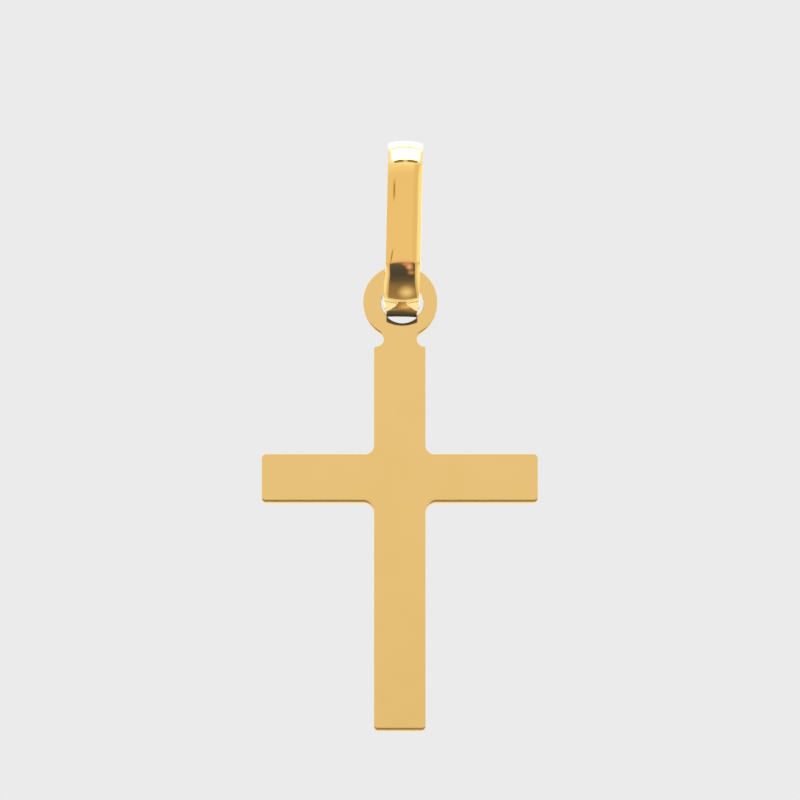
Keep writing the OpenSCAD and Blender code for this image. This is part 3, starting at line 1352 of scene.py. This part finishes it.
@dataclass
class Studio:
    """A pale light tent: its walls, its soft light and its floor.

    Directions are given by their height and their sideways part. A height is in degrees: 0 is level
    in front of the pendant, 90 is overhead and 180 is level behind it. The sideways part runs from -1
    at the left to 1 at the right. The floor's height and size are in metres.
    """

    background: Colour = (0.83, 0.83, 0.83)
    brightest: float = 4.0
    floor_z: float = -0.55
    floor_size: float = 6.0
    floor_tone: Colour = (0.62, 0.62, 0.62)
    floor_tone_seen: Colour = (0.453, 0.446, 0.430)
    floor_roughness: float = 0.9
    walls: tuple[tuple[float, Colour], ...] = (
        (-180.0, (1.0, 0.96, 0.94)),
        (-160.0, (1.0, 0.96, 0.92)),
        (-138.0, (1.02, 1.15, 1.10)),
        (-101.0, (1.02, 1.23, 1.17)),
        (-98.0, (0.96, 0.92, 0.85)),
        (-84.0, (0.95, 0.90, 0.82)),
        (-60.0, (0.95, 0.95, 1.00)),
        (2.0, (0.90, 0.82, 0.75)),
        (7.7, (0.73, 0.64, 0.475)),
        (8.5, (0.845, 0.705, 0.505)),
        (9.3, (0.862, 0.735, 0.55)),
        (10.4, (0.88, 0.77, 0.59)),
        (12.0, (0.86, 0.745, 0.557)),
        (26.0, (0.87, 0.77, 0.58)),
        (37.0, (0.93, 0.845, 0.635)),
        (45.0, (0.95, 0.91, 0.72)),
        (51.0, (0.99, 1.03, 1.01)),
        (60.0, (1.0, 1.06, 1.20)),
        (104.0, (1.0, 1.06, 1.20)),
        (107.0, (0.88, 0.94, 1.00)),
        (111.0, (0.92, 1.00, 1.02)),
        (113.0, (3.6, 3.6, 3.6)),
        (150.0, (3.2, 3.2, 3.2)),
        (165.0, (0.97, 0.93, 0.88)),
        (180.0, (1.0, 0.96, 0.94)),
    )
    bow: float = 45.0
    bow_heights: Pair = (35.0, 55.0)
    light: Colour = (3.6, 3.6, 3.6)
    light_heights: Band = ((61.0, 63.0), (104.0, 106.0))
    light_sides: Band = ((-0.355, -0.30), (0.35, 0.405))
    light_taper: Band = ((62.0, 107.0), (1.0, 1.27))
    dark_line: Colour = (0.27, 0.25, 0.13)
    seam_heights: Band = ((53.3, 56.3), (62.0, 63.5))
    seam_sides: Band = ((-0.31, -0.26), (0.32, 0.37))
    seam_gap: Band = ((-0.06, -0.02), (0.06, 0.10))
    seam_gap_share: float = 0.6
    seam_droop: float = 46.0
    seam_middle: float = 0.03
    upright_heights: Band = ((7.0, 9.0), (42.0, 54.0))
    upright_patches: tuple[Patch, ...] = (
        Patch((0.80, 0.69, 0.50), (0.25, 0.33)),
        Patch((1.09, 1.07, 0.93), (0.40, 0.47)),
    )
    side_wall: Patch = Patch((1.0, 1.09, 1.45), (0.52, 0.80))
    low_heights: Band = ((-84.0, -76.0), (3.0, 8.0))
    wing: Patch = Patch((1.09, 1.07, 0.93), (0.45, 0.53))
    collar: Patch = Patch((0.72, 0.61, 0.43), (0.43, 0.50))
    opening_heights: Band = ((-90.0, -84.0), (5.9, 7.8))
    opening_edge: Pair = (0.398, 0.428)
    opening_shift: float = 0.022
    opening_lean: float = 0.00027
    opening_taper: float = -0.00052
    opening: tuple[tuple[float, Colour], ...] = (
        (-84.0, (0.38, 0.29, 0.20)),
        (-74.0, (0.335, 0.236, 0.167)),
        (-56.0, (0.293, 0.218, 0.142)),
        (-48.0, (0.26, 0.20, 0.146)),
        (-40.0, (0.20, 0.165, 0.145)),
        (-33.0, (0.125, 0.11, 0.118)),
        (-18.0, (0.076, 0.080, 0.105)),
        (-4.0, (0.080, 0.082, 0.107)),
        (7.0, (0.13, 0.11, 0.106)),
    )
    glows: tuple[Glow, ...] = (
        Glow((-65.0, 25.0), (0.113, 0.32), (0.87, 0.80, 0.68)),
        Glow((6.4, 3.0), (0.07, 0.42), (0.46, 0.17, 0.12)),
        Glow((-9.4, 12.0), (0.27, 0.17), (0.52, 0.35, 0.23)),
        Glow((2.2, 6.5), (0.21, 0.17), (0.95, 0.55, 0.50)),
        Glow((5.0, 3.5), (0.09, 0.15), (0.60, 0.36, 0.34)),
    )

    def build(self) -> None:
        """Makes the world and the floor."""
        self._world()
        self._floor()

    def _world(self) -> None:
        """Lights the scene from all round, and shows the camera a plain pale background."""
        world = bpy.data.worlds.new("light tent")
        bpy.context.scene.world = world
        world.use_nodes = True
        world.node_tree.nodes.clear()
        make = TentShader(world.node_tree, self.brightest)
        bow = make.times(make.x, make.x, self.bow, make.fade(make.height, *self.bow_heights))
        make.height = make.minus(make.height, bow)
        tent = self._front(make, self._overhead(make, make.walls(self.walls)))
        light, shown = (make.add("ShaderNodeBackground") for _ in range(2))
        make.join(tent, light.inputs["Color"])
        light.inputs["Strength"].default_value = self.brightest
        shown.inputs["Color"].default_value = (*self.background, 1.0)
        chosen = make.add("ShaderNodeMixShader")
        seen = make.add("ShaderNodeLightPath").outputs["Is Camera Ray"]
        for source, target in zip((seen, light.outputs[0], shown.outputs[0]), chosen.inputs):
            make.join(source, target)
        make.join(chosen.outputs[0], make.add("ShaderNodeOutputWorld").inputs["Surface"])

    def _overhead(self, make: TentShader, tent: Socket) -> Socket:
        """Adds the nearer of the two overhead lights, and the dark bar below it with its gap.

        The light's near edge and the bar droop together towards their ends.

        Args:
            make: The world's builder.
            tent: The tent so far.

        Returns:
            The tent's colour.
        """
        off = make.minus(make.x, self.seam_middle)
        droop = make.line(make.times(off, off), self.seam_droop, make.height)
        near, far = self.light_heights
        along = make.times(make.fade(droop, *near), make.fall(make.height, *far))
        (start, end), shares = self.light_taper
        tapered = make.times(make.x, make.fade(make.height, start, end, *shares))
        tent = make.cover(tent, make.times(along, make.band(tapered, self.light_sides)), self.light)
        gap = make.minus(1.0, make.times(make.band(make.x, self.seam_gap), self.seam_gap_share))
        bar = make.times(make.band(droop, self.seam_heights), make.band(make.x, self.seam_sides), gap)
        return make.cover(tent, bar, self.dark_line)

    def _front(self, make: TentShader, tent: Socket) -> Socket:
        """Adds the side walls, the low front walls and the dark opening between them.

        Args:
            make: The world's builder.
            tent: The tent so far.

        Returns:
            The tent's colour.
        """
        upright = make.band(make.height, self.upright_heights)
        for patch in self.upright_patches:
            tent = make.cover(tent, make.times(make.fade(make.x, *patch.edge), upright), patch.colour)
        beside = make.fade(make.math("ABSOLUTE", make.x), *self.side_wall.edge)
        tent = make.cover(tent, beside, self.side_wall.colour)
        down = make.math("MINIMUM", make.height, 0.0)
        shift = make.line(down, self.opening_lean, self.opening_shift)
        off_middle = make.math("ABSOLUTE", make.math("ADD", make.x, shift))
        sideways = make.line(down, self.opening_taper, off_middle)
        low_down = make.band(make.height, self.low_heights)
        for patch, side in ((self.wing, make.fade), (self.collar, make.fall)):
            tent = make.cover(tent, make.times(low_down, side(sideways, *patch.edge)), patch.colour)
        inside = make.times(
            make.band(make.height, self.opening_heights), make.fall(sideways, *self.opening_edge)
        )
        return make.mix(inside, tent, self._opening(make))

    def _opening(self, make: TentShader) -> Socket:
        """Colours the opening: dark, lighter low down, with soft spots of warm light.

        Args:
            make: The world's builder.

        Returns:
            The opening's colour.
        """
        seen = make.walls(self.opening)
        for glow in self.glows:
            up = make.math("DIVIDE", make.minus(make.height, glow.up[0]), glow.up[1])
            across = make.math("DIVIDE", make.minus(make.x, glow.across[0]), glow.across[1])
            seen = make.cover(seen, make.fall(make.length(up, across), 0.0, 1.0), glow.colour)
        return seen

    def _floor(self) -> None:
        """Lays a plain pale floor well below the pendant, which hangs."""
        Bench.clear()
        bpy.ops.mesh.primitive_plane_add(size=self.floor_size, location=(0, 0, self.floor_z))
        floor = bpy.context.object
        floor.name = "floor"
        material = bpy.data.materials.new("floor")
        material.use_nodes = True
        shader = material.node_tree.nodes["Principled BSDF"]
        make = ShaderBuilder(material.node_tree)
        seen = make.add("ShaderNodeLightPath").outputs["Is Camera Ray"]
        make.join(make.mix(seen, self.floor_tone, self.floor_tone_seen), shader.inputs["Base Color"])
        shader.inputs["Roughness"].default_value = self.floor_roughness
        floor.data.materials.append(material)
        floor.visible_glossy = False
        floor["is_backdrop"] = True


@dataclass
class View:
    """The camera: a long lens a little below the pendant.

    Sizes are in millimetres, the angle below level in degrees and the clip distances in metres.
    """

    distance: float = 600.0
    below: float = 10.0
    aim: Point = (-0.241, 0.0, -10.89)
    half_frame: float = 17.41
    sensor: float = 36.0
    clip: Pair = (0.05, 10.0)

    def build(self) -> None:
        """Places the camera and makes it the scene's."""
        data = bpy.data.cameras.new("camera")
        data.sensor_width = self.sensor
        data.lens = self.sensor / 2 * self.distance / self.half_frame
        data.clip_start, data.clip_end = self.clip
        camera = bpy.data.objects.new("camera", data)
        bpy.context.scene.collection.objects.link(camera)
        down = math.radians(self.below)
        back = Vector((0.0, -math.cos(down), -math.sin(down))) * self.distance
        camera.location = (Vector(self.aim) + back) * MM
        camera.rotation_euler = (math.radians(90.0 + self.below), 0.0, 0.0)
        bpy.context.scene.camera = camera


CROSS_GOLD = CrossGold(
    name="cross gold",
    colour=(0.935, 0.722, 0.347),
    worn_colour=(0.925, 0.715, 0.337),
    roughness=0.055,
    cloud_roughness=0.01,
    cloud_size=1.6,
    wave_height=0.0003,
    wear=0.03,
)
BAIL_GOLD = BailGold(
    name="bail gold",
    colour=(0.98, 0.70, 0.28),
    worn_colour=(0.97, 0.69, 0.27),
    roughness=0.035,
    cloud_roughness=0.015,
    cloud_size=1.4,
    wave_height=0.0004,
    wear=0.05,
)


def corners(box: object) -> list[list[float]]:
    """Turns a box of two vectors into plain lists of numbers."""
    return [[float(value) for value in corner] for corner in box]


def main() -> None:
    """Builds the studio and both pieces in order, and reports each one."""
    logging.basicConfig(level=logging.INFO, format="%(name)s: %(message)s")
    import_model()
    solid_box = corners(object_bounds())
    bpy.context.scene.view_settings.view_transform = "Standard"
    View().build()
    Studio().build()
    for piece in (Cross(CROSS_GOLD), Bail(BAIL_GOLD)):
        made = piece.build()
        LOG.info("%s: %d faces", made.name, len(made.data.polygons))
    {"solids": solid_box, "visual": corners(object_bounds())}


if __name__ == "__main__":
    main()
